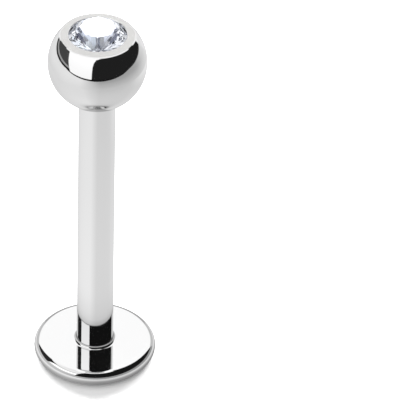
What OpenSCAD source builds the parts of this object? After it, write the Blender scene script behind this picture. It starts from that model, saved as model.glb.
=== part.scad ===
// Straight barbell stud with a flat disc back and a screw-on ball that holds a cut stone.
// Lengths are in millimetres. The disc's underside is on z = 0 and the post stands on +Z.

/* [Post] */
// Diameter of the straight shaft
shaft_d = 1.2; // [1.0:0.1:1.6]
// Length of the shaft from the disc's inner face to the shoulder
shaft_len = 10; // [6:0.5:12]
// Radius of the fillet at the foot of the shaft
foot_fillet = 0.12; // [0.05:0.01:0.2]

/* [Disc] */
// Diameter of the disc
disc_d = 4.0; // [3.5:0.1:5]
// Thickness of the disc, whose rim is fully rounded
disc_t = 0.52; // [0.4:0.02:0.8]

/* [Thread] */
// Pitch of the right-hand thread
pitch = 0.25; // [0.2:0.05:0.3]
// Diameter over the crests of the stub's thread
crest_d = 1.16; // [1.12:0.01:1.18]
// Diameter at the roots of the stub's thread
root_d = 0.9; // [0.88:0.01:0.94]
// Length of the stub beyond the shoulder, taper and dome included
stub_len = 1.4; // [1.2:0.05:1.45]
// Length of the taper between the shoulder and the thread
taper_len = 0.22; // [0.15:0.01:0.3]
// Height of the domed tip
dome_h = 0.34; // [0.25:0.01:0.4]
// Gap between crests and roots of the two threads
thread_gap = 0.035; // [0.03:0.005:0.04]
// Gap along the axis between the flanks of the two threads, each side
flank_gap = 0.02; // [0.015:0.005:0.03]

/* [Ball] */
// Diameter of the ball
ball_d = 3.2; // [3.2:0.1:4]
// Diameter of the countersunk mouth where it meets the sphere
mouth_d = 1.44; // [1.4:0.02:1.5]
// Gap along the axis between the shoulder's taper and the countersink
seat_gap = 0.03; // [0.02:0.005:0.05]
// Outer diameter of the flat ring round the stone
ring_d = 2.42; // [2.4:0.01:2.5]
// Diameter of the opening in the ring
lip_d = 1.86; // [1.84:0.01:1.88]
// Rise of the ring from its outer edge to the opening
ring_rise = 0.04; // [0.02:0.01:0.06]

/* [Stone] */
// Diameter of the stone over its girdle
stone_d = 1.92; // [1.9:0.01:1.94]
// Width across the corners of the eight-sided table
table_d = 1.15; // [1:0.01:1.3]
// Height of the table above the outer edge of the ring
table_up = 0.325; // [0.25:0.005:0.4]
// Height of the crown above the girdle
crown_h = 0.407; // [0.35:0.001:0.42]
// Thickness of the girdle
girdle_t = 0.04; // [0.03:0.01:0.05]
// Depth of the pavilion below the girdle
pavilion_h = 0.553; // [0.5:0.001:0.56]
// Thickness of the silver foil behind the stone
foil_t = 0.03; // [0.02:0.005:0.04]
// Gap between the stone, the foil and the pocket
pocket_gap = 0.02; // [0.015:0.005:0.025]

/* [Hidden] */

fine = 96;          // segments of a true curve
sides = 24;         // columns of facets round a thread
corners = 8;        // corners of the table
margin = 0.6;       // how far a cutting solid reaches past what it cuts
buried = 0.03;      // how far a turned outline runs on inside a thread's core
bore_room = 0.04;   // between the stub's tip and the end of the bore

shaft_r = shaft_d / 2;
disc_r = disc_d / 2;
rim_r = disc_t / 2;
crest_r = crest_d / 2;
root_r = root_d / 2;
ball_r = ball_d / 2;
mouth_r = mouth_d / 2;
ring_r = ring_d / 2;
lip_r = lip_d / 2;
stone_r = stone_d / 2;
table_r = table_d / 2;

shoulder_z = disc_t + shaft_len;
taper_slope = (shaft_r - root_r) / taper_len;

// Heights in the ball are measured from its centre
mouth_z = -sqrt(pow(ball_r, 2) - pow(mouth_r, 2));
seat_z = mouth_z + (mouth_r - shaft_r) / taper_slope;
ball_z = shoulder_z + seat_gap - seat_z;
tip_z = shoulder_z + stub_len - ball_z;
bore_top = tip_z + bore_room;
ring_z = sqrt(pow(ball_r, 2) - pow(ring_r, 2));

// The stone, its heights from the ball's centre too
table_z = ring_z + table_up;
girdle_z = table_z - crown_h;
belt_z = girdle_z - girdle_t;
culet_z = belt_z - pavilion_h;
crown_slope = crown_h / (stone_r - table_r);
pavilion_slope = pavilion_h / stone_r;

// Vertical distances that give the gap and the foil's thickness square to the pavilion
pavilion_stretch = sqrt(1 + pow(pavilion_slope, 2));
gap_v = pocket_gap * pavilion_stretch;
foil_v = foil_t * pavilion_stretch;
foil_r = stone_r - foil_t;
pocket_r = stone_r + 0.025;
lip_gap = 0.015;    // between the girdle's upper edge and the lip, along the axis
lip_edge = 0.015;   // edge broken at the ring's opening
star_share = 0.8;   // radius of the stars' tips as a share of the stone's
lower_share = 0.24; // radius of the lower facets' tips as a share of the stone's

// A ridge of the thread, seen along one pitch: [share of the pitch, radius] at its four corners
flank_run = tan(30);
crest_half = pitch / 16;
lead_in = 2 * pitch; // how far each threaded rod starts below the shoulder
rod_turns = ceil((stub_len + lead_in) / pitch) + 1;
function ridge(root, crest, half) =
    let (foot = half + (crest - root) * flank_run)
    [[0.5 - foot / pitch, root], [0.5 - half / pitch, crest],
     [0.5 + half / pitch, crest], [0.5 + foot / pitch, root]];

stub_ridge = ridge(root_r, crest_r, crest_half);
tap_ridge = ridge(root_r + thread_gap, crest_r + thread_gap,
                  crest_half + flank_gap - thread_gap * flank_run);

// One threaded rod from z = from, its ridge a right-hand helix. Column i stands at its angle, and
// row j is a corner of the ridge. The last column joins the first one a pitch, or four rows, higher.
module threaded_rod(corner, from, turns) {
    rows = 4 * turns;
    function at(i, j) =
        let (c = corner[j % 4], a = 360 * i / sides)
        [c[1] * cos(a), c[1] * sin(a), from + pitch * (floor(j / 4) + c[0] + i / sides)];
    // The first column has four more rows than the others
    points = concat(
        [for (j = [0 : rows + 4]) at(0, j)],
        [for (i = [1 : sides - 1], j = [0 : rows]) at(i, j)],
        [[0, 0, from + pitch], [0, 0, from + pitch * turns + pitch]]);
    function id(i, j) = i == 0 ? j
        : i == sides ? j + 4
        : rows + 5 + (i - 1) * (rows + 1) + j;
    low = len(points) - 2;
    high = len(points) - 1;
    wall = [for (i = [0 : sides - 1], j = [0 : rows - 1], half = [0, 1])
        half == 0 ? [id(i, j), id(i, j + 1), id(i + 1, j + 1)]
                  : [id(i, j), id(i + 1, j + 1), id(i + 1, j)]];
    low_edge = concat([for (i = [0 : sides]) id(i, 0)], [3, 2, 1]);
    high_edge = concat([for (i = [0 : sides]) id(i, rows)], [rows + 3, rows + 2, rows + 1]);
    rim = len(low_edge);
    caps = [for (k = [0 : rim - 1], end = [0, 1])
        end == 0 ? [low, low_edge[k], low_edge[(k + 1) % rim]]
                 : [high, high_edge[(k + 1) % rim], high_edge[k]]];
    polyhedron(points, concat(wall, caps));
}

// Disc, shaft and shoulder as one turned outline
module post_outline() {
    square([disc_r - rim_r, disc_t]);
    translate([disc_r - rim_r, rim_r]) circle(r = rim_r, $fn = fine);
    difference() {
        square([shaft_r + foot_fillet, disc_t + foot_fillet]);
        translate([shaft_r + foot_fillet, disc_t + foot_fillet])
            circle(r = foot_fillet, $fn = fine);
    }
    // The taper runs on inside the thread's core
    core_r = root_r - buried;
    core_z = shoulder_z + (shaft_r - core_r) / taper_slope;
    polygon([[0, disc_t / 2], [shaft_r, disc_t / 2], [shaft_r, shoulder_z],
             [core_r, core_z], [0, core_z]]);
}

// The envelope that trims the rod to the stub: a cylinder, a chamfer over the last ridge and a dome
module stub_envelope() {
    dome_r = (pow(root_r, 2) + pow(dome_h, 2)) / (2 * dome_h);
    dome_foot = stub_len - dome_h;
    clear_r = crest_r + 0.04;
    rotate_extrude($fn = fine) {
        intersection() {
            translate([0, stub_len - dome_r]) circle(r = dome_r, $fn = fine);
            square([dome_r, stub_len]);
        }
        polygon([[0, -margin], [clear_r, -margin], [clear_r, dome_foot - (clear_r - root_r)],
                 [root_r, dome_foot], [0, dome_foot]]);
    }
}

module labret_post() {
    color("silver") {
        rotate_extrude($fn = fine) post_outline();
        intersection() {
            translate([0, 0, shoulder_z]) stub_envelope();
            threaded_rod(stub_ridge, shoulder_z - lead_in, rod_turns);
        }
    }
}

// Half section of the ball before its thread is tapped
module ball_outline() {
    difference() {
        intersection() {
            circle(r = ball_r, $fn = fine);
            translate([0, -ball_r]) square([ball_r, 2 * ball_r]);
        }
        // what is cut away above the ring
        lip_z = ring_z + ring_rise;
        ring_slope = ring_rise / (ring_r - lip_r - lip_edge);
        polygon([[0, lip_z], [lip_r + lip_edge, lip_z],
                 [ring_r + margin, ring_z - margin * ring_slope],
                 [ring_r + margin, ball_r + margin], [0, ball_r + margin]]);
        // the stone's pocket, its lip above the girdle, and the edge broken at the opening
        pocket_z = culet_z - 2 * gap_v - foil_v;
        lip_low = girdle_z + lip_gap;
        polygon([[0, pocket_z], [pocket_r, pocket_z + pocket_r * pavilion_slope],
                 [pocket_r, lip_low], [lip_r, lip_low + (pocket_r - lip_r) * crown_slope],
                 [lip_r, lip_z - lip_edge], [lip_r + lip_edge, lip_z],
                 [lip_r + lip_edge, lip_z + margin], [0, lip_z + margin]]);
        // the countersunk mouth
        core_r = root_r - buried;
        mouth_top = mouth_z + (mouth_r - core_r) / taper_slope;
        mouth_low = mouth_z - margin;
        polygon([[0, mouth_low], [mouth_r + margin * taper_slope, mouth_low],
                 [core_r, mouth_top], [0, mouth_top]]);
    }
}

module threaded_ball() {
    color("silver") translate([0, 0, ball_z]) difference() {
        rotate_extrude($fn = fine) ball_outline();
        // the tapped bore, in phase with the stub's thread
        intersection() {
            threaded_rod(tap_ridge, shoulder_z - ball_z - lead_in, rod_turns);
            translate([0, 0, mouth_z - margin])
                cylinder(r = mouth_r, h = bore_top - mouth_z + margin, $fn = fine);
        }
    }
}

// Round brilliant: table, 8 stars, 8 kites and 16 upper facets, a 16-sided girdle,
// 16 lower facets and 8 mains. A star's tip and a lower facet's tip lie half a step from a corner.
module gem_stone() {
    step = 360 / corners;
    half = step / 2;
    star_r = star_share * stone_r;
    lower_r = lower_share * stone_r;
    function ring_of(r, z, count, first) =
        [for (k = [0 : count - 1])
            let (a = first + 360 * k / count) [r * cos(a), r * sin(a), z]];
    // each tip lies on the plane of the kite or main next to it
    star_z = girdle_z + (stone_r - star_r * cos(half)) * crown_slope;
    lower_z = culet_z + lower_r * cos(half) * pavilion_slope;
    points = concat(
        ring_of(table_r, table_z, corners, 0),
        ring_of(star_r, star_z, corners, half),
        ring_of(stone_r, girdle_z, 2 * corners, 0),
        ring_of(stone_r, belt_z, 2 * corners, 0),
        ring_of(lower_r, lower_z, corners, half),
        [[0, 0, culet_z]]);
    function table_at(k) = k % corners;
    function star_at(k) = corners + (k + corners) % corners;
    function girdle_at(k) = 2 * corners + (k + 2 * corners) % (2 * corners);
    function belt_at(k) = 2 * corners + girdle_at(k);
    function lower_at(k) = 6 * corners + (k + corners) % corners;
    culet = 7 * corners;
    every = [0 : corners - 1];
    facets = concat(
        [[for (k = [corners - 1 : -1 : 0]) k]],
        [for (k = every) [table_at(k), table_at(k + 1), star_at(k)]],
        [for (k = every) [table_at(k), star_at(k), girdle_at(2 * k), star_at(k - 1)]],
        [for (k = every) [star_at(k), girdle_at(2 * k + 1), girdle_at(2 * k)]],
        [for (k = every) [star_at(k), girdle_at(2 * k + 2), girdle_at(2 * k + 1)]],
        [for (k = [0 : 2 * corners - 1]) [girdle_at(k), girdle_at(k + 1), belt_at(k + 1), belt_at(k)]],
        [for (k = every) [belt_at(2 * k), belt_at(2 * k + 1), lower_at(k)]],
        [for (k = every) [belt_at(2 * k + 1), belt_at(2 * k + 2), lower_at(k)]],
        [for (k = every) [belt_at(2 * k), lower_at(k), culet, lower_at(k - 1)]]);
    color("azure") translate([0, 0, ball_z]) polyhedron(points, facets);
}

// Thin silver cone under the pavilion
module stone_foil() {
    inner_z = culet_z - gap_v;
    outer_z = inner_z - foil_v;
    color("gainsboro") translate([0, 0, ball_z]) rotate_extrude($fn = fine)
        polygon([[0, outer_z], [foil_r, outer_z + foil_r * pavilion_slope],
                 [foil_r, inner_z + foil_r * pavilion_slope], [0, inner_z]]);
}

labret_post();
threaded_ball();
gem_stone();
stone_foil();
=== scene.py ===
import math

import bpy
import numpy as np
from mathutils import Matrix, Vector


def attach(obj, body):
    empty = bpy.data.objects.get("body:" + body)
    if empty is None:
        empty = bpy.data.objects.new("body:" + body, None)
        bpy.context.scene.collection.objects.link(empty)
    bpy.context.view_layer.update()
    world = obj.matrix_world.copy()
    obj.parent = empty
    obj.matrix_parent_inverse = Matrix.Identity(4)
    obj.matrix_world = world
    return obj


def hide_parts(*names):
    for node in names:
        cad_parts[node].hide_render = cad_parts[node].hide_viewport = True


# A labret stud: disc, shaft and threaded stub in one, a screw-on ball, its clear cut stone and
# the silver foil behind the stone. Dictionaries hold millimetres, meshes are made in metres.
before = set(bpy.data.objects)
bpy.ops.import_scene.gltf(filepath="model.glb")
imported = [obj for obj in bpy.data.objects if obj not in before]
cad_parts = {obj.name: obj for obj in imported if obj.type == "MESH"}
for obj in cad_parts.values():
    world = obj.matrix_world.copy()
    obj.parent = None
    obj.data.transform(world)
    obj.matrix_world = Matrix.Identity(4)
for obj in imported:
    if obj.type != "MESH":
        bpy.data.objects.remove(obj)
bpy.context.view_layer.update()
mm = 0.001
turn = 2 * math.pi
flankSlope = math.tan(math.radians(30))   # half of the 60 degrees between a thread's flanks
print("frame loaded:", sorted(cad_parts))


# Mesh making

def makePiece(name, points, faces, materials, faceMaterial=None, smooth=True):
    # points are in millimetres, faces is a list of index arrays with one row for each face
    mesh = bpy.data.meshes.new(name)
    rows = [row for block in faces for row in block.tolist()]
    mesh.from_pydata((points * mm).tolist(), [], rows)
    mesh.polygons.foreach_set("use_smooth", np.full(len(rows), smooth))
    if faceMaterial is not None:
        mesh.polygons.foreach_set("material_index", faceMaterial.astype(np.int32))
    mesh.update()
    piece = bpy.data.objects.new(name, mesh)
    bpy.context.scene.collection.objects.link(piece)
    for material in materials:
        mesh.materials.append(material)
    return piece


def turnedSurface(radius, height):
    # A closed surface round Z. Row i is a ring: the point at angle a is radius[i] * (cos a, sin a)
    # at height[i], and both may vary with the angle. The first and last row close on the axis.
    radius, height = np.broadcast_arrays(radius, height)
    rings, columns = radius.shape[0] - 2, radius.shape[1]
    angle = turn * np.arange(columns) / columns
    r, z = radius[1:-1], height[1:-1]
    grid = np.stack([r * np.cos(angle), r * np.sin(angle), z], -1).reshape(-1, 3)
    poles = np.array([[0, 0, height[0].mean()], [0, 0, height[-1].mean()]])
    points = np.vstack([grid, poles])
    i, j = np.meshgrid(np.arange(rings - 1), np.arange(columns), indexing="ij")
    right = (j + 1) % columns
    quads = np.stack([i * columns + j, i * columns + right,
                      (i + 1) * columns + right, (i + 1) * columns + j], -1).reshape(-1, 4)
    k = np.arange(columns)
    after = (k + 1) % columns
    last = (rings - 1) * columns
    first = np.stack([np.full(columns, rings * columns), after, k], -1)
    final = np.stack([np.full(columns, rings * columns + 1), last + k, last + after], -1)
    return points, [first, quads, final]


def roundedPath(corners, radius, steps=5):
    # Rounds every inner corner of a line of (r, z) points. Between the points A and B, radius
    # away from the corner C on its two sides, runs the parabola (1-t)^2 A + 2t(1-t) C + t^2 B.
    # Two more points, a third of the radius beside each bend, keep the flats flat in the shading.
    corners = np.asarray(corners, float)
    radius = np.broadcast_to(radius, len(corners) - 2)[:, None]
    before, corner, after = corners[:-2], corners[1:-1], corners[2:]
    back = (before - corner) / np.linalg.norm(before - corner, axis=1)[:, None]
    ahead = (after - corner) / np.linalg.norm(after - corner, axis=1)[:, None]
    start, end = corner + back * radius, corner + ahead * radius
    t = np.linspace(0, 1, steps)[None, :, None]
    bend = (1 - t) ** 2 * start[:, None] + 2 * t * (1 - t) * corner[:, None] + t ** 2 * end[:, None]
    beside = 0.35 * radius
    blocks = np.concatenate([(start + back * beside)[:, None], bend,
                             (end + ahead * beside)[:, None]], 1)
    return np.vstack([corners[:1], blocks.reshape(-1, 2), corners[-1:]])


def ridgeRadius(share, root, crest, half, pitch):
    # Radius of a thread at a share 0 to 1 of its pitch: root, a straight 60 degree flank up to
    # the crest, the crest round the middle, and the same flank down again
    foot = (half + (crest - root) * flankSlope) / pitch
    half = half / pitch
    return np.interp(share % 1.0, [0, 0.5 - foot, 0.5 - half, 0.5 + half, 0.5 + foot, 1],
                     [root, root, crest, crest, root, root])


# Materials

def newMaterial(name):
    material = bpy.data.materials.new(name)
    material.use_nodes = True
    tree = material.node_tree
    shader = tree.nodes["Principled BSDF"]
    return material, tree, shader


def addNode(tree, kind, inputs=(), **settings):
    node = tree.nodes.new(kind)
    for key, value in settings.items():
        setattr(node, key, value)
    for key, value in dict(inputs).items():
        socket = node.inputs[key]
        if isinstance(value, bpy.types.NodeSocket):
            tree.links.new(value, socket)
        else:
            socket.default_value = value
    return node


steelFinish = {
    "colours": {"post": (0.655, 0.655, 0.656, 1), "ball": (0.601, 0.601, 0.602, 1)},
    "roughness": (0.035, 0.075),   # range of the polish
    "cloudScale": 900.0,           # per metre: soft patches of duller polish
    "edgeTint": (0.77, 0.77, 0.77, 1),   # steel mirrors less where it curves away
    "lineScale": 60000.0,          # polishing lines round the axis
    "lineStretch": (0.03, 0.03, 1),
    "lineDepth": 0.00000006,       # metres
    "scratchScale": 9000.0,
    "scratchStretch": (1, 0.08, 0.6), "scratchTilt": (0.6, 0.9, 0.4),
    "scratchDepth": 0.00000010,
}


def polishedSteel(name, colour, seed):
    # Mirror steel. Roughness drifts with a soft noise. The bump is a noise stretched round the
    # axis, which gives polishing lines, and a sparse one for hairline scratches.
    f = steelFinish
    material, tree, shader = newMaterial(name)
    place = addNode(tree, "ShaderNodeTexCoord").outputs["Object"]
    shifted = addNode(tree, "ShaderNodeMapping", {"Vector": place, "Location": (seed, 0, 0)})
    cloud = addNode(tree, "ShaderNodeTexNoise", {"Vector": shifted.outputs[0], "Scale": f["cloudScale"],
                                                 "Detail": 3.0})
    rough = addNode(tree, "ShaderNodeMapRange", {"Value": cloud.outputs["Fac"], "From Min": 0.35,
                                                 "From Max": 0.7, "To Min": f["roughness"][0],
                                                 "To Max": f["roughness"][1]})
    drawn = addNode(tree, "ShaderNodeMapping", {"Vector": shifted.outputs[0], "Scale": f["lineStretch"]})
    lines = addNode(tree, "ShaderNodeTexNoise", {"Vector": drawn.outputs[0], "Scale": f["lineScale"],
                                                 "Detail": 2.0})
    tilted = addNode(tree, "ShaderNodeMapping", {"Vector": shifted.outputs[0],
                                                 "Scale": f["scratchStretch"],
                                                 "Rotation": f["scratchTilt"]})
    hair = addNode(tree, "ShaderNodeTexNoise", {"Vector": tilted.outputs[0], "Scale": f["scratchScale"],
                                                "Detail": 1.0})
    sparse = addNode(tree, "ShaderNodeMapRange", {"Value": hair.outputs["Fac"], "From Min": 0.66,
                                                  "From Max": 0.72})
    lineBump = addNode(tree, "ShaderNodeBump", {"Height": lines.outputs["Fac"],
                                                "Distance": f["lineDepth"], "Strength": 1.0})
    bump = addNode(tree, "ShaderNodeBump", {"Height": sparse.outputs[0], "Distance": f["scratchDepth"],
                                            "Normal": lineBump.outputs[0], "Strength": 1.0})
    tree.links.new(rough.outputs[0], shader.inputs["Roughness"])
    tree.links.new(bump.outputs[0], shader.inputs["Normal"])
    shader.inputs["Base Color"].default_value = colour
    shader.inputs["Specular Tint"].default_value = f["edgeTint"]
    shader.inputs["Metallic"].default_value = 1.0
    return material


ringFinish = {
    "colour": (0.50, 0.497, 0.49, 1),
    "roughness": (0.26, 0.42),
    "drift": (0.02, 0.02, 0),      # how fast the lines change round the axis
    "lineScale": 70000.0,
    "lineDepth": 0.0000009,
}


def brushedRing(name):
    # Finely brushed steel. The lines run round the axis, so their pattern is a noise that is
    # read along the distance from the axis alone, with a slow drift round it.
    f = ringFinish
    material, tree, shader = newMaterial(name)
    place = addNode(tree, "ShaderNodeTexCoord").outputs["Object"]
    flat = addNode(tree, "ShaderNodeMapping", {"Vector": place, "Scale": (1, 1, 0)})
    distance = addNode(tree, "ShaderNodeVectorMath", {0: flat.outputs[0]}, operation="LENGTH")
    slow = addNode(tree, "ShaderNodeMapping", {"Vector": flat.outputs[0], "Scale": f["drift"]})
    across = addNode(tree, "ShaderNodeCombineXYZ", {"Z": distance.outputs["Value"]})
    mixed = addNode(tree, "ShaderNodeVectorMath", {0: slow.outputs[0], 1: across.outputs[0]},
                    operation="ADD")
    lines = addNode(tree, "ShaderNodeTexNoise", {"Vector": mixed.outputs[0], "Scale": f["lineScale"],
                                                 "Detail": 3.0})
    rough = addNode(tree, "ShaderNodeMapRange", {"Value": lines.outputs["Fac"], "From Min": 0.3,
                                                 "From Max": 0.7, "To Min": f["roughness"][0],
                                                 "To Max": f["roughness"][1]})
    bump = addNode(tree, "ShaderNodeBump", {"Height": lines.outputs["Fac"], "Distance": f["lineDepth"],
                                            "Strength": 1.0})
    tree.links.new(rough.outputs[0], shader.inputs["Roughness"])
    tree.links.new(bump.outputs[0], shader.inputs["Normal"])
    shader.inputs["Base Color"].default_value = f["colour"]
    shader.inputs["Metallic"].default_value = 1.0
    return material


stoneFinish = {
    "tints": ((0.88, 0.91, 0.98, 1), (0.96, 0.97, 0.99, 1)),
    "roughness": (0.0, 0.012),
    "ior": 1.56,
    "cloudScale": 1500.0,
}


def cutCrystal(name):
    # Clear crystal: its faint blue drifts with a soft noise, and so does the polish
    f = stoneFinish
    material, tree, shader = newMaterial(name)
    place = addNode(tree, "ShaderNodeTexCoord").outputs["Object"]
    cloud = addNode(tree, "ShaderNodeTexNoise", {"Vector": place, "Scale": f["cloudScale"],
                                                 "Detail": 2.0})
    tint = addNode(tree, "ShaderNodeMix", {"Factor": cloud.outputs["Fac"], "A": f["tints"][0],
                                           "B": f["tints"][1]}, data_type="RGBA")
    rough = addNode(tree, "ShaderNodeMapRange", {"Value": cloud.outputs["Fac"], "From Min": 0.45,
                                                 "From Max": 0.75, "To Min": f["roughness"][0],
                                                 "To Max": f["roughness"][1]})
    tree.links.new(tint.outputs["Result"], shader.inputs["Base Color"])
    tree.links.new(rough.outputs[0], shader.inputs["Roughness"])
    shader.inputs["Transmission Weight"].default_value = 1.0
    shader.inputs["IOR"].default_value = f["ior"]
    return material


foilFinish = {
    "colours": ((0.86, 0.87, 0.89, 1), (0.95, 0.95, 0.96, 1)),
    "roughness": (0.02, 0.10),
    "creaseScale": 3500.0,
    "creaseDepth": 0.0000012,
}


def silverFoil(name):
    # Bright silver with faint creases from a noise bump
    f = foilFinish
    material, tree, shader = newMaterial(name)
    place = addNode(tree, "ShaderNodeTexCoord").outputs["Object"]
    crease = addNode(tree, "ShaderNodeTexNoise", {"Vector": place, "Scale": f["creaseScale"],
                                                  "Detail": 4.0})
    tint = addNode(tree, "ShaderNodeMix", {"Factor": crease.outputs["Fac"], "A": f["colours"][0],
                                           "B": f["colours"][1]}, data_type="RGBA")
    rough = addNode(tree, "ShaderNodeMapRange", {"Value": crease.outputs["Fac"], "From Min": 0.3,
                                                 "From Max": 0.7, "To Min": f["roughness"][0],
                                                 "To Max": f["roughness"][1]})
    bump = addNode(tree, "ShaderNodeBump", {"Height": crease.outputs["Fac"], "Strength": 1.0,
                                            "Distance": f["creaseDepth"]})
    tree.links.new(tint.outputs["Result"], shader.inputs["Base Color"])
    tree.links.new(rough.outputs[0], shader.inputs["Roughness"])
    tree.links.new(bump.outputs[0], shader.inputs["Normal"])
    shader.inputs["Metallic"].default_value = 1.0
    return material


# The post: disc, shaft and threaded stub

post = {
    "shaftR": 0.6, "shaftLen": 10.0, "footFillet": 0.12,
    "discR": 2.0, "discT": 0.52,
    "pitch": 0.25, "crestR": 0.58, "rootR": 0.45, "crestHalf": 0.25 / 16,
    "stubLen": 1.4, "taperLen": 0.22, "domeH": 0.34, "crestRoom": 0.04,
    "leadIn": 0.5,                 # how far below the shoulder the thread's count starts
    "columns": 192, "rowsPerPitch": 30, "arcRows": 24, "shaftRows": 40,
    # rows beside the edges keep the flats flat in the shading
    "flatEdge": 0.02, "undersideR": 0.4, "shaftTop": 0.03, "stubFoot": (-0.012, -0.004),
}
shoulderZ = post["discT"] + post["shaftLen"]
taperSlope = (post["shaftR"] - post["rootR"]) / post["taperLen"]


def stubRadius(z, angle):
    # The taper's cone, or, where it is wider, the thread trimmed to a chamfered cylinder that
    # ends in a dome
    p = post
    domeR = (p["rootR"] ** 2 + p["domeH"] ** 2) / (2 * p["domeH"])
    up = z - shoulderZ
    dome = np.sqrt(np.clip(domeR ** 2 - np.clip(up - (p["stubLen"] - domeR), 0, None) ** 2, 0, None))
    clearR = p["crestR"] + p["crestRoom"]
    footUp = p["stubLen"] - p["domeH"]
    chamfer = np.where(up <= footUp, np.minimum(clearR, p["rootR"] + footUp - up), 0)
    domed = np.where(up >= p["stubLen"] - domeR, dome, 0)
    thread = ridgeRadius((up + p["leadIn"]) / p["pitch"] - angle / turn,
                         p["rootR"], p["crestR"], p["crestHalf"], p["pitch"])
    return np.maximum(p["shaftR"] - taperSlope * up, np.minimum(thread, np.maximum(domed, chamfer)))


def makePost(materials):
    # Outline from the underside's centre over the rim, along the disc's top, round the fillet and
    # up the shaft. The rim is a half circle, the fillet a quarter one: centre + r * (cos a, sin a).
    # Above it come the stub's rings, closer together towards the dome's tip.
    p = post
    rimR = p["discT"] / 2
    edge = p["flatEdge"]
    bow = np.linspace(-math.pi / 2, math.pi / 2, 2 * p["arcRows"] + 1)
    rim = np.stack([p["discR"] - rimR + rimR * np.cos(bow), rimR + rimR * np.sin(bow)], 1)
    hollow = np.linspace(-math.pi / 2, -math.pi, p["arcRows"])
    centre = np.array([p["shaftR"] + p["footFillet"], p["discT"] + p["footFillet"]])
    fillet = centre + p["footFillet"] * np.stack([np.cos(hollow), np.sin(hollow)], 1)
    underside = np.array([[0, 0], [p["undersideR"], 0], [rim[0, 0] - edge, 0]])
    top = np.array([[rim[-1, 0] - edge, p["discT"]], [fillet[0, 0] + edge, p["discT"]]])
    shaftZ = np.linspace(fillet[-1, 1] + edge / 2, shoulderZ - p["shaftTop"], p["shaftRows"])
    shaft = np.stack([np.full(p["shaftRows"], p["shaftR"]), shaftZ], 1)
    low = np.vstack([underside, rim, top, fillet, shaft])
    rows = int(p["stubLen"] / p["pitch"] * p["rowsPerPitch"])
    domeRows = np.sin(np.linspace(0, math.pi / 2, rows // 4)[1:])
    straight = p["stubLen"] - p["domeH"] / 2
    up = np.concatenate([p["stubFoot"], np.linspace(0, straight, rows),
                         straight + (p["stubLen"] - straight) * domeRows])
    angle = turn * np.arange(p["columns"]) / p["columns"]
    z = (shoulderZ + up)[:, None]
    stub = np.minimum(stubRadius(z, angle[None, :]), p["shaftR"])
    stub[-1] = 0
    radius = np.vstack([np.repeat(low[:, :1], p["columns"], 1), stub])
    height = np.vstack([low[:, 1:], z])
    points, faces = turnedSurface(radius, height)
    piece = makePiece("stud_post", points, faces, materials)
    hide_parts("labret_post")
    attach(piece, "post")
    return piece


# The ball, heights from its centre

ball = {
    "ballR": 1.6, "mouthR": 0.72, "seatGap": 0.03, "boreRoom": 0.04,
    "threadGap": 0.035, "flankGap": 0.02,
    "ringR": 1.21, "ringRise": 0.04, "lipR": 0.93, "lipEdge": 0.015,
    "pocketR": 0.985, "pocketGap": 0.02, "lipGap": 0.015,
    "columns": 192, "sphereRows": 110,
    "mouthEdge": 0.012, "softEdge": 0.006,   # how far from a corner its rounding starts
    "bevel": 0.022,                # between the sphere and the ring
    "mouthRow": 0.03,              # height of the bore's last row above the mouth
}
mouthZ = -math.sqrt(ball["ballR"] ** 2 - ball["mouthR"] ** 2)
seatZ = mouthZ + (ball["mouthR"] - post["shaftR"]) / taperSlope
ballZ = shoulderZ + ball["seatGap"] - seatZ
boreTop = shoulderZ + post["stubLen"] - ballZ + ball["boreRoom"]
ringZ = math.sqrt(ball["ballR"] ** 2 - ball["ringR"] ** 2)


def boreRadius(z, angle):
    # The countersink's cone, or, where it is wider, the tapped thread
    b, p = ball, post
    half = p["crestHalf"] + b["flankGap"] - b["threadGap"] * flankSlope
    thread = ridgeRadius((z + ballZ - shoulderZ + p["leadIn"]) / p["pitch"] - angle / turn,
                         p["rootR"] + b["threadGap"], p["crestR"] + b["threadGap"], half, p["pitch"])
    return np.maximum(b["mouthR"] - taperSlope * (z - mouthZ), thread)


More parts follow.
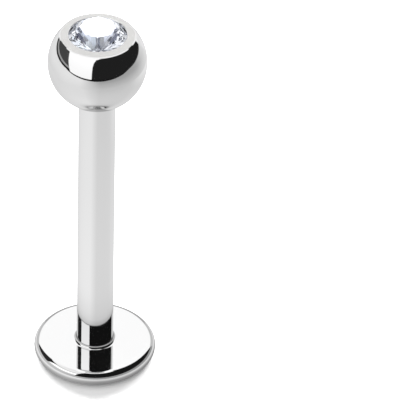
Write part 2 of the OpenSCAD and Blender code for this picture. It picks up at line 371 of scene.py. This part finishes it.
def makeBall(materials):
    # From the bore's end down its wall, over the sphere up to the ring, and down the lip into
    # the stone's pocket. The sphere is the arc ballR * (cos e, sin e) between mouth and ring.
    b = ball
    rows = int((boreTop - mouthZ) / post["pitch"] * post["rowsPerPitch"])
    z = np.linspace(boreTop, mouthZ + b["mouthRow"], rows)[:, None]
    angle = turn * np.arange(b["columns"]) / b["columns"]
    bore = boreRadius(z, angle[None, :])
    # the bore's flat end: its centre and a ring halfway out
    ceiling = np.stack([np.zeros(b["columns"]), bore[0] / 2])
    lowE, highE = math.asin(mouthZ / b["ballR"]), math.asin(ringZ / b["ballR"])
    rise = np.linspace(lowE, highE, b["sphereRows"])
    sphere = b["ballR"] * np.stack([np.cos(rise), np.sin(rise)], 1)
    mouth = roundedPath([[b["mouthR"] - taperSlope * b["mouthRow"], mouthZ + b["mouthRow"]],
                         [b["mouthR"], mouthZ], sphere[1]], b["mouthEdge"])[1:-1]
    lipZ = ringZ + b["ringRise"]
    lipLow = girdleZ + b["lipGap"]
    pocketZ = culetZ - 2 * gapV - foilV
    bevelE = highE - b["bevel"] / b["ballR"]
    bevelFoot = b["ballR"] * np.array([math.cos(bevelE), math.sin(bevelE)])
    bevelHead = [b["ringR"] - b["bevel"], ringZ + b["bevel"] * b["ringRise"] / (b["ringR"] - b["lipR"])]
    rim = roundedPath([sphere[-3], bevelFoot, bevelHead, [b["lipR"] + b["lipEdge"], lipZ],
                       [b["lipR"], lipZ - b["lipEdge"]],
                       [b["lipR"], lipLow + (b["pocketR"] - b["lipR"]) * crownSlope],
                       [b["pocketR"], lipLow],
                       [b["pocketR"], pocketZ + b["pocketR"] * pavilionSlope], [0, pocketZ]],
                      b["softEdge"])
    outer = np.vstack([mouth, sphere[2:-3], rim])
    radius = np.vstack([ceiling, bore, np.repeat(outer[:, :1], b["columns"], 1)])
    height = np.vstack([np.full((2, 1), boreTop), z, outer[:, 1:]]) + ballZ
    points, faces = turnedSurface(radius, height)
    # the brushed finish lies on the rows between the ring's edge and its opening
    rowZ, rowR = height[1:-1, 0], radius[1:-1].mean(1)
    middle = (rowR[:-1] + rowR[1:]) / 2
    onRing = (np.minimum(rowZ[:-1], rowZ[1:]) > ballZ + ringZ) & (middle > b["lipR"] + b["lipEdge"])
    onRing &= middle < b["ringR"] - b["bevel"]
    faceMaterial = np.concatenate([np.zeros(b["columns"]), np.repeat(onRing, b["columns"]),
                                   np.zeros(b["columns"])])
    piece = makePiece("screw_ball", points, faces, materials, faceMaterial)
    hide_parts("threaded_ball")
    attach(piece, "ball")
    return piece


# The stone

stone = {
    "stoneR": 0.96, "tableR": 0.575, "tableUp": 0.325, "crownH": 0.407, "girdleT": 0.04,
    "pavilionH": 0.553, "lowerShare": 0.24, "corners": 8,
    "crownFlat": 0.918,            # how far out a crown facet's middle meets the girdle
    "girdleFlat": 0.9525,          # radius of the girdle at the middle of a crown facet
}
tableZ = ringZ + stone["tableUp"]
girdleZ = tableZ - stone["crownH"]
beltZ = girdleZ - stone["girdleT"]
culetZ = beltZ - stone["pavilionH"]
crownSlope = stone["crownH"] / (stone["stoneR"] - stone["tableR"])
pavilionSlope = stone["pavilionH"] / stone["stoneR"]


def makeStone(materials):
    # Rings of points r * (cos a, sin a): 8 table corners, a girdle of 16, a belt of 16 below it, 8
    # lower tips and the culet. The crown has 8 flat facets, each the plane that falls from its table
    # edge to crownFlat from the axis at the girdle's height. It lies higher at the facet's two ends,
    # so the girdle's edge is scalloped, at the angle b from the facet's middle:
    # z = girdleZ + (crownFlat - r * cos b) * slope
    s = stone
    n = s["corners"]
    step = turn / n
    lowerR = s["lowerShare"] * s["stoneR"]
    lowerZ = culetZ + lowerR * math.cos(step / 2) * pavilionSlope
    slope = s["crownH"] / (s["crownFlat"] - s["tableR"] * math.cos(step / 2))
    beltR = np.tile([s["stoneR"], s["girdleFlat"]], n)
    away = np.tile([step / 2, 0], n)
    edgeZ = girdleZ + (s["crownFlat"] - beltR * np.cos(away)) * slope

    def ringOf(r, z, count, first):
        a = first + turn * np.arange(count) / count
        return np.stack([r * np.cos(a), r * np.sin(a), np.broadcast_to(z, count)], 1)

    points = np.vstack([ringOf(s["tableR"], tableZ, n, 0), ringOf(beltR, edgeZ, 2 * n, 0),
                        ringOf(beltR, beltZ, 2 * n, 0), ringOf(lowerR, lowerZ, n, step / 2),
                        [[0, 0, culetZ]]])
    points[:, 2] += ballZ
    k, kk = np.arange(n), np.arange(2 * n)
    table, lower = (lambda i: i % n), (lambda i: 5 * n + i % n)
    girdle, belt = (lambda i: n + i % (2 * n)), (lambda i: 3 * n + i % (2 * n))
    culet = np.full(n, 6 * n)
    faces = [table(k)[None, :],
             np.stack([table(k + 1), table(k), girdle(2 * k), girdle(2 * k + 1), girdle(2 * k + 2)], 1),
             np.stack([girdle(kk + 1), girdle(kk), belt(kk), belt(kk + 1)], 1),
             np.stack([belt(2 * k + 1), belt(2 * k), lower(k)], 1),
             np.stack([belt(2 * k + 2), belt(2 * k + 1), lower(k)], 1),
             np.stack([belt(2 * k), lower(k - 1), culet, lower(k)], 1)]
    piece = makePiece("cut_stone", points, faces, materials, smooth=False)
    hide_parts("gem_stone")
    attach(piece, "ball")
    return piece


# The foil

foil = {"thickness": 0.03, "columns": 128}
# gap and thickness as they measure straight up and down the pavilion's slope
stretch = math.sqrt(1 + pavilionSlope ** 2)
gapV = ball["pocketGap"] * stretch
foilV = foil["thickness"] * stretch


def makeFoil(materials):
    # A thin cone: its outer face is outerZ + r * slope, its inner one lies a thickness higher
    foilR = stone["stoneR"] - foil["thickness"]
    innerZ = culetZ - gapV
    outerZ = innerZ - foilV
    outline = roundedPath([[0, outerZ], [foilR, outerZ + foilR * pavilionSlope],
                           [foilR, innerZ + foilR * pavilionSlope], [0, innerZ]], ball["softEdge"])
    radius = np.repeat(outline[:, :1], foil["columns"], 1)
    points, faces = turnedSurface(radius, outline[:, 1:] + ballZ)
    piece = makePiece("foil_cone", points, faces, materials)
    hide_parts("stone_foil")
    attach(piece, "backing")
    return piece


postPiece = makePost([polishedSteel("post_polish", steelFinish["colours"]["post"], 0.0)])
print("post made:", len(postPiece.data.polygons), "faces")
ballPiece = makeBall([polishedSteel("ball_polish", steelFinish["colours"]["ball"], 0.05),
                      brushedRing("ring_brushing")])
print("ball made:", len(ballPiece.data.polygons), "faces")
stonePiece = makeStone([cutCrystal("crystal")])
print("stone made:", len(stonePiece.data.polygons), "faces")
foilPiece = makeFoil([silverFoil("foil")])
print("foil made:", len(foilPiece.data.polygons), "faces")


# The camera, from the photograph: where it stands, and where the stud lies in its frame

view = {
    "target": (0, 0, 6.5), "distance": 180.0, "elevation": 37.62, "lens": 500.0, "sensor": 36.0,
    "clip": (0.01, 10.0),          # metres
    "frame": 400, "targetPixel": (96.3, 192.45),
    "roll": 1.386,                 # the stud leans 0.56 degrees in the frame, the rest is perspective
}


# Studio

studio = {
    "worldStrength": 1.48,
    "floorColour": (0.62, 0.62, 0.62, 1), "floorRoughness": 0.08, "floorIor": 1.6,
    "floorSize": 3000.0, "floorZ": -0.002,
    "cardR": 27.0, "shelfZ": 11.0, "underZ": 10.985,
    "cardGrid": (64, 16), "floorGrid": (181, 90),   # columns and rows
    "rowPower": 5,
    "steepest": 0.02, "edgeRoom": 0.1,   # limits of the shelf's straight edge
    "seenFrom": 12.5,              # the floor lies this many times as far off as the shelf before it
    # two softboxes behind, on the left and the right: their shadows meet at the disc's front
    "lamps": {"softboxLeft": {"place": (-28, 62, 33), "size": (50.0, 16.0), "power": 0.17},
              "softboxRight": {"place": (28, 62, 33), "size": (50.0, 16.0), "power": 0.17}},
}
# Cards round the stud that only its polish sees. Azimuths in degrees from the camera's side, to the
# right: the edges of a card slide through the listed azimuths from its foot to its head, and so
# does its glow, or they stay where one number is given. Heights and radii in millimetres.
wallCards = {
    "rightFlag": {"left": (-12, -12, -11.5, -10, -4, 30), "right": 129, "z": (11.0, 40), "glow": 0.022},
    "rightHead": {"left": (30, 34, 39, 45, 52, 60), "right": (100, 96, 92, 88, 84, 80), "z": (40, 50),
                  "glow": 0.022},
    "whiteCard": {"left": (-61, -70, -79, -88, -97, -105), "right": (-12, -12, -11.5, -10, -4, 30),
                  "z": (11.0, 40), "glow": (1.56, 1.60, 1.65, 1.70, 1.72, 1.74)},
    "leftStrip": {"r": 27.3, "left": -137, "right": -61, "z": (11.0, 12.9), "glow": 0.02},
    "leftLine": {"r": 27.3, "left": -137, "right": -61.5, "z": (12.9, 14.6), "glow": 0.52},
    "leftFlag": {"r": 27.3, "left": -137, "right": (-65, -72, -80, -89, -98, -106), "z": (14.6, 40),
                 "glow": 0.09},
    "backWall": {"left": 129, "right": 223, "z": (11.0, 17), "glow": 1.48},
    "topWhite": {"left": -105, "right": (30, 12, -14, -34, -48, -54), "z": (40, 180), "glow": 1.56},
}
# Level cards at the height of the ball's foot. The ball sees the tops of the shelf cards, which
# picture a table with a straight front edge at a distance of tableEdge: "edge" gives where they
# start and end as shares of that distance. Those without a glow show the floor beyond.
tableEdge = 8.0
shelfCards = {
    "shelfNear": {"edge": (0.0, 1.0), "azimuth": (-137, 129), "inner": 2.9},
    "shelfStrip": {"edge": (1.0, 1.6), "azimuth": (-137, 129), "glow": 0.012},
    "shelfWhite": {"edge": (1.6, 9.0), "azimuth": (-61, -12), "glow": 1.56},
    "shelfRight": {"edge": (1.6, 9.0), "azimuth": (-12, 129), "glow": 0.022},
    "shelfLeft": {"edge": (1.6, 9.0), "azimuth": (-137, -61), "glow": 0.02},
    "shelfBack": {"edge": (0.0, 9.0), "azimuth": (129, 223), "inner": 20.0},
}
# Just below them, the cards that the disc and the shaft's foot see: glow from the inner to the
# outer edge, and rightGlow where it changes towards the right
underCards = {
    "underLeft": {"radius": (8.0, 27.0), "azimuth": (-134, -93), "glow": 0.03},
    "underWhite": {"radius": (8.0, 27.0), "azimuth": (-93, -34), "glow": (0.5, 2.05, 1.75, 0.95, 0.8, 0.8)},
    "underRight": {"radius": (3.0, 27.0), "azimuth": (-34, 129), "glow": 0.012},
    "underFarLeft": {"radius": (27.0, 2500.0), "azimuth": (-134, -60), "glow": 0.80},
    "underFarMid": {"radius": (27.0, 2500.0), "azimuth": (-60, 0), "glow": 0.80, "rightGlow": 0.45},
    "underFarRight": {"radius": (27.0, 2500.0), "azimuth": (0, 129), "glow": 0.45},
    "underSides": {"radius": (22.0, 2500.0), "azimuth": (129, 160), "glow": 0.80},
    "underBack": {"radius": (22.0, 2500.0), "azimuth": (160, 200), "glow": 0.55},
    "underOther": {"radius": (22.0, 2500.0), "azimuth": (200, 226), "glow": 0.80},
}
# A small lamp behind, whose mirror image covers the stone's table in the camera's view
kicker = {"distance": 60.0, "radius": 1.7, "glow": 13.0}
# Blinds that only the stone sees, on a sphere round it: azimuths from the camera's side,
# elevations and colours. They give its facets their greys, the bases lie behind the others.
blinds = {
    "distance": 40.0, "z": 12.9, "behind": 1.0,
    "cards": {
        "leftStreak": {"azimuth": (70, 80), "elevation": (30, 42), "colour": (0.08, 0.09, 0.14)},
        "leftSlash": {"azimuth": (91, 104), "elevation": (15, 30), "colour": (0.10, 0.11, 0.16)},
        "leftLow": {"azimuth": (105, 117), "elevation": (8, 20), "colour": (0.05, 0.05, 0.08)},
        "frontLeft": {"azimuth": (104, 127), "elevation": (37, 62), "colour": (1.20, 1.30, 1.34)},
        "bandMiddle": {"azimuth": (133, 224), "elevation": (0, 64), "colour": (0.05, 0.05, 0.08)},
        "headLeft": {"azimuth": (129, 153), "elevation": (69, 84), "colour": (0.92, 0.98, 1.00)},
        "headLine": {"azimuth": (155, 205), "elevation": (70, 83), "colour": (0.20, 0.20, 0.23)},
        "headRight": {"azimuth": (207, 229), "elevation": (70, 83), "colour": (0.62, 0.60, 0.56)},
        "rightNavy": {"azimuth": (-80, -72), "elevation": (30, 38.5), "colour": (0.04, 0.05, 0.10)},
        "rightSlash": {"azimuth": (-105, -93), "elevation": (15, 30), "colour": (0.20, 0.21, 0.27)},
    },
    "bases": {
        "baseLeft": {"azimuth": (58, 130), "elevation": (-2, 66), "colour": (1.04, 1.07, 1.12)},
        "baseRight": {"azimuth": (-130, -58), "elevation": (-2, 66), "colour": (1.14, 1.14, 1.15)},
        "baseHead": {"azimuth": (0, 360), "elevation": (66, 90), "colour": (0.75, 0.76, 0.78)},
    },
}
# The floor as the polish sees it, a painted reflection with painted shade: brightness by radius in
# millimetres, on the left and the right
floorGlow = {
    # the card dips under the floor near the stud: its height by radius
    "height": ((0, 3.6, 4.0, 600), (-0.01, -0.01, 0.02, 0.02)),
    # the glow dips near the stud for a painted contact shadow, and is lower on the right for painted shade
    "radius": (1.7, 2.1, 2.35, 2.6, 3.0, 4.0, 6.0, 10.0, 14.0, 20.0, 28.0, 60.0, 120.0, 600.0),
    "left": (0.50, 0.58, 0.70, 0.98, 1.11, 1.25, 1.25, 1.20, 1.18, 1.18, 1.23, 1.28, 1.27, 1.25),
    "right": (0.36, 0.40, 0.46, 0.84, 0.93, 1.01, 1.02, 0.99, 0.95, 0.88, 0.77, 0.59, 0.54, 0.54),
    # azimuths: the left turns into the right from the first to the second, and back behind
    "change": (-31, 5, 90, 180),
    # shares that it has round the stud, by azimuth, and the radii between which they take hold
    "sides": ((-180, -150, -120, -90, -60, 55, 80, 97, 112, 127, 150, 180),
              (1.0, 1.10, 1.02, 0.97, 1.0, 0.98, 1.06, 1.22, 1.32, 1.38, 1.42, 1.0)),
    "sidesRadius": ((12, 19), (0.2, 1.0)),
    # shares that are taken from it behind, and the radii between which that ends
    "behind": ((140, 180), (0.0, 0.28)),
    "behindRadius": ((40, 90), (1.0, 0.0)),
}


def cameraPlace():
    # Where the camera stands: out from the target at its elevation, in millimetres
    e = math.radians(view["elevation"])
    return Vector(view["target"]) + view["distance"] * Vector((0, -math.cos(e), math.sin(e)))


def floorLight(azimuth, radius):
    # Painted brightness of the floor, painted shade included, at an azimuth and radius: the two tables by
    # radius, blended from left to right in front and back again behind, times its share round the stud
    g = floorGlow
    share = np.interp(azimuth, g["change"], (0, 1, 1, 0))
    light = (np.interp(radius, g["radius"], g["left"]) * (1 - share)
             + np.interp(radius, g["radius"], g["right"]) * share)
    light *= 1 + (np.interp(azimuth, *g["sides"]) - 1) * np.interp(radius, *g["sidesRadius"])
    return light * (1 - np.interp(np.abs(azimuth), *g["behind"]) * np.interp(radius, *g["behindRadius"]))


def cardMaterial():
    # Plain light whose colour and strength are the mesh's own glow attribute
    material = bpy.data.materials.new("card_glow")
    material.use_nodes = True
    tree = material.node_tree
    tree.nodes.clear()
    light = addNode(tree, "ShaderNodeAttribute", attribute_name="glow").outputs["Color"]
    glow = addNode(tree, "ShaderNodeEmission", {"Color": light})
    addNode(tree, "ShaderNodeOutputMaterial", {"Surface": glow.outputs[0]})
    material.cycles.emission_sampling = "NONE"
    return material


def along(stops, share):
    # A value at a share 0 to 1 of the way through evenly spaced stops, or the one number given
    stops = np.atleast_1d(stops)
    return np.interp(share, np.linspace(0, 1, len(stops)), stops)


def makeCard(name, radius, z, azimuth, glow, material, colour=(1, 1, 1), forStone=False):
    # A curved or level card on a grid: radius, height, azimuth and glow are given as arrays over
    # it, and the point is (r sin azimuth, -r cos azimuth, z)
    r, height, azimuth, glow = np.broadcast_arrays(radius, z, np.radians(azimuth), glow)
    rows, columns = azimuth.shape
    points = np.stack([r * np.sin(azimuth), -r * np.cos(azimuth), height], -1).reshape(-1, 3)
    i, j = np.meshgrid(np.arange(rows - 1), np.arange(columns - 1), indexing="ij")
    quads = np.stack([i * columns + j, i * columns + j + 1,
                      (i + 1) * columns + j + 1, (i + 1) * columns + j], -1).reshape(-1, 4)
    card = makePiece(name, points, [quads], [material], smooth=False)
    values = card.data.attributes.new("glow", "FLOAT_COLOR", "POINT")
    values.data.foreach_set("color", (glow.reshape(-1, 1) * (*colour, 1)).ravel().astype(np.float32))
    card.visible_camera = card.visible_diffuse = card.visible_shadow = False
    card.visible_transmission = forStone
    card.visible_glossy = not forStone
    return card


def makeCards(material):
    # u runs from the left to the right of a card, v from its foot or inner edge to its head
    s = studio
    columns, rows = s["cardGrid"]
    u, v = np.meshgrid(np.linspace(0, 1, columns), np.linspace(0, 1, rows))
    for name, c in wallCards.items():
        left, right = along(c["left"], v), along(c["right"], v)
        makeCard(name, c.get("r", s["cardR"]), along(c["z"], v), left + (right - left) * u,
                 along(c["glow"], v), material)
    for name, c in shelfCards.items():
        azimuth = along(c["azimuth"], u)
        straight = tableEdge / np.maximum(np.cos(np.radians(azimuth)), s["steepest"])
        inner = c.get("inner", tableEdge - s["edgeRoom"])
        start, end = (np.clip(straight * share, inner, s["cardR"]) for share in c["edge"])
        radius = start + (end - start) * v
        # without a glow of their own they show the floor's painted brightness, painted shade included
        beyond = floorLight(azimuth, ball["ballR"] + s["seenFrom"] * (radius - ball["ballR"]))
        makeCard(name, radius, s["shelfZ"], azimuth, c.get("glow", beyond), material)
    for name, c in underCards.items():
        glow = along(c["glow"], v)
        glow = glow + (c.get("rightGlow", glow) - glow) * u
        makeCard(name, along(c["radius"], v), s["underZ"], along(c["azimuth"], u), glow, material)
    for name, c in (blinds["cards"] | blinds["bases"]).items():
        rise = np.radians(along(c["elevation"], v))
        distance = blinds["distance"] + (blinds["behind"] if name in blinds["bases"] else 0)
        makeCard(name + "Blind", distance * np.cos(rise), blinds["z"] + distance * np.sin(rise),
                 along(c["azimuth"], u), 1.0, material, c["colour"], forStone=True)
    # the kicker is a disc that faces the table from the camera's mirrored direction
    table = Vector((0, 0, ballZ + tableZ))
    mirrored = (cameraPlace() - table) * Vector((1, -1, 1))
    middle = (table + mirrored.normalized() * kicker["distance"]) * mm
    disc = makeCard("kicker", kicker["radius"] * v, 0.0, 360 * u, kicker["glow"], material)
    disc.data.transform(Matrix.LocRotScale(middle, mirrored.to_track_quat("Z", "Y"), None))


def makeFloor(glowing):
    # The floor itself, which the camera sees, and the glowing card that the polish sees in its
    # place, a painted reflection of the floor with painted shade. The card's rows crowd towards the stud: r
    # = row ** rowPower.
    s, g = studio, floorGlow
    columns, rows = s["floorGrid"]
    power = s["rowPower"]
    near, far = g["radius"][0], g["radius"][-1]
    azimuth, row = np.meshgrid(np.linspace(-180, 180, columns),
                               np.linspace(near ** (1 / power), far ** (1 / power), rows))
    radius = row ** power
    makeCard("floorCard", radius, np.interp(radius, *g["height"]), azimuth, floorLight(azimuth, radius),
             glowing)
    half = s["floorSize"] / 2
    corners = np.array([[-half, -half, s["floorZ"]], [half, -half, s["floorZ"]],
                        [half, half, s["floorZ"]], [-half, half, s["floorZ"]]])
    material, tree, shader = newMaterial("floor_white")
    shader.inputs["Base Color"].default_value = s["floorColour"]
    shader.inputs["Roughness"].default_value = s["floorRoughness"]
    shader.inputs["IOR"].default_value = s["floorIor"]
    floor = makePiece("floor", corners, [np.array([[0, 1, 2, 3]])], [material], smooth=False)
    floor.visible_glossy = False


def makeLights():
    # A white world, and the softboxes turned towards the disc
    world = bpy.data.worlds.new("studio_white")
    bpy.context.scene.world = world
    world.use_nodes = True
    background = world.node_tree.nodes["Background"]
    background.inputs["Color"].default_value = (1, 1, 1, 1)
    background.inputs["Strength"].default_value = studio["worldStrength"]
    for name, c in studio["lamps"].items():
        light = bpy.data.lights.new(name, "AREA")
        light.shape = "RECTANGLE"
        light.size, light.size_y = c["size"][0] * mm, c["size"][1] * mm
        light.energy = c["power"]
        lamp = bpy.data.objects.new(name, light)
        place = Vector(c["place"])
        lamp.matrix_world = Matrix.LocRotScale(place * mm, (-place).to_track_quat("-Z", "Y"), None)
        lamp.visible_glossy = lamp.visible_transmission = lamp.visible_camera = False
        bpy.context.scene.collection.objects.link(lamp)


def makeCamera():
    # The target lies off the frame's centre, so the camera looks past it by the angle that the
    # pixel offset subtends, after the roll is taken out
    v = view
    focal = v["lens"] / v["sensor"] * v["frame"]
    e, roll = math.radians(v["elevation"]), math.radians(v["roll"])
    back = Vector((0, -math.cos(e), math.sin(e)))
    place = cameraPlace()
    right, up = Vector((1, 0, 0)), Vector((0, math.sin(e), math.cos(e)))
    x = (v["targetPixel"][0] - v["frame"] / 2) / focal
    y = -(v["targetPixel"][1] - v["frame"] / 2) / focal
    x, y = x * math.cos(roll) - y * math.sin(roll), y * math.cos(roll) + x * math.sin(roll)
    aim = (-back - x * right - y * up).normalized()
    turned = aim.to_track_quat("-Z", "Y").to_matrix()
    lens = bpy.data.cameras.new("camera")
    lens.lens = v["lens"]
    lens.sensor_width = v["sensor"]
    lens.clip_start, lens.clip_end = v["clip"]
    camera = bpy.data.objects.new("camera", lens)
    camera.matrix_world = Matrix.LocRotScale(place * mm, turned @ Matrix.Rotation(roll, 3, "Z"), None)
    bpy.context.scene.collection.objects.link(camera)
    bpy.context.scene.camera = camera


cardLight = cardMaterial()
makeCards(cardLight)
makeFloor(cardLight)
makeLights()
makeCamera()
bpy.context.scene.view_settings.view_transform = "Standard"
# the stone's rays meet many facets before they leave it
bpy.context.scene.cycles.max_bounces = 32
bpy.context.scene.cycles.transmission_bounces = 32
bpy.context.scene.cycles.glossy_bounces = 24
print("studio and camera made")
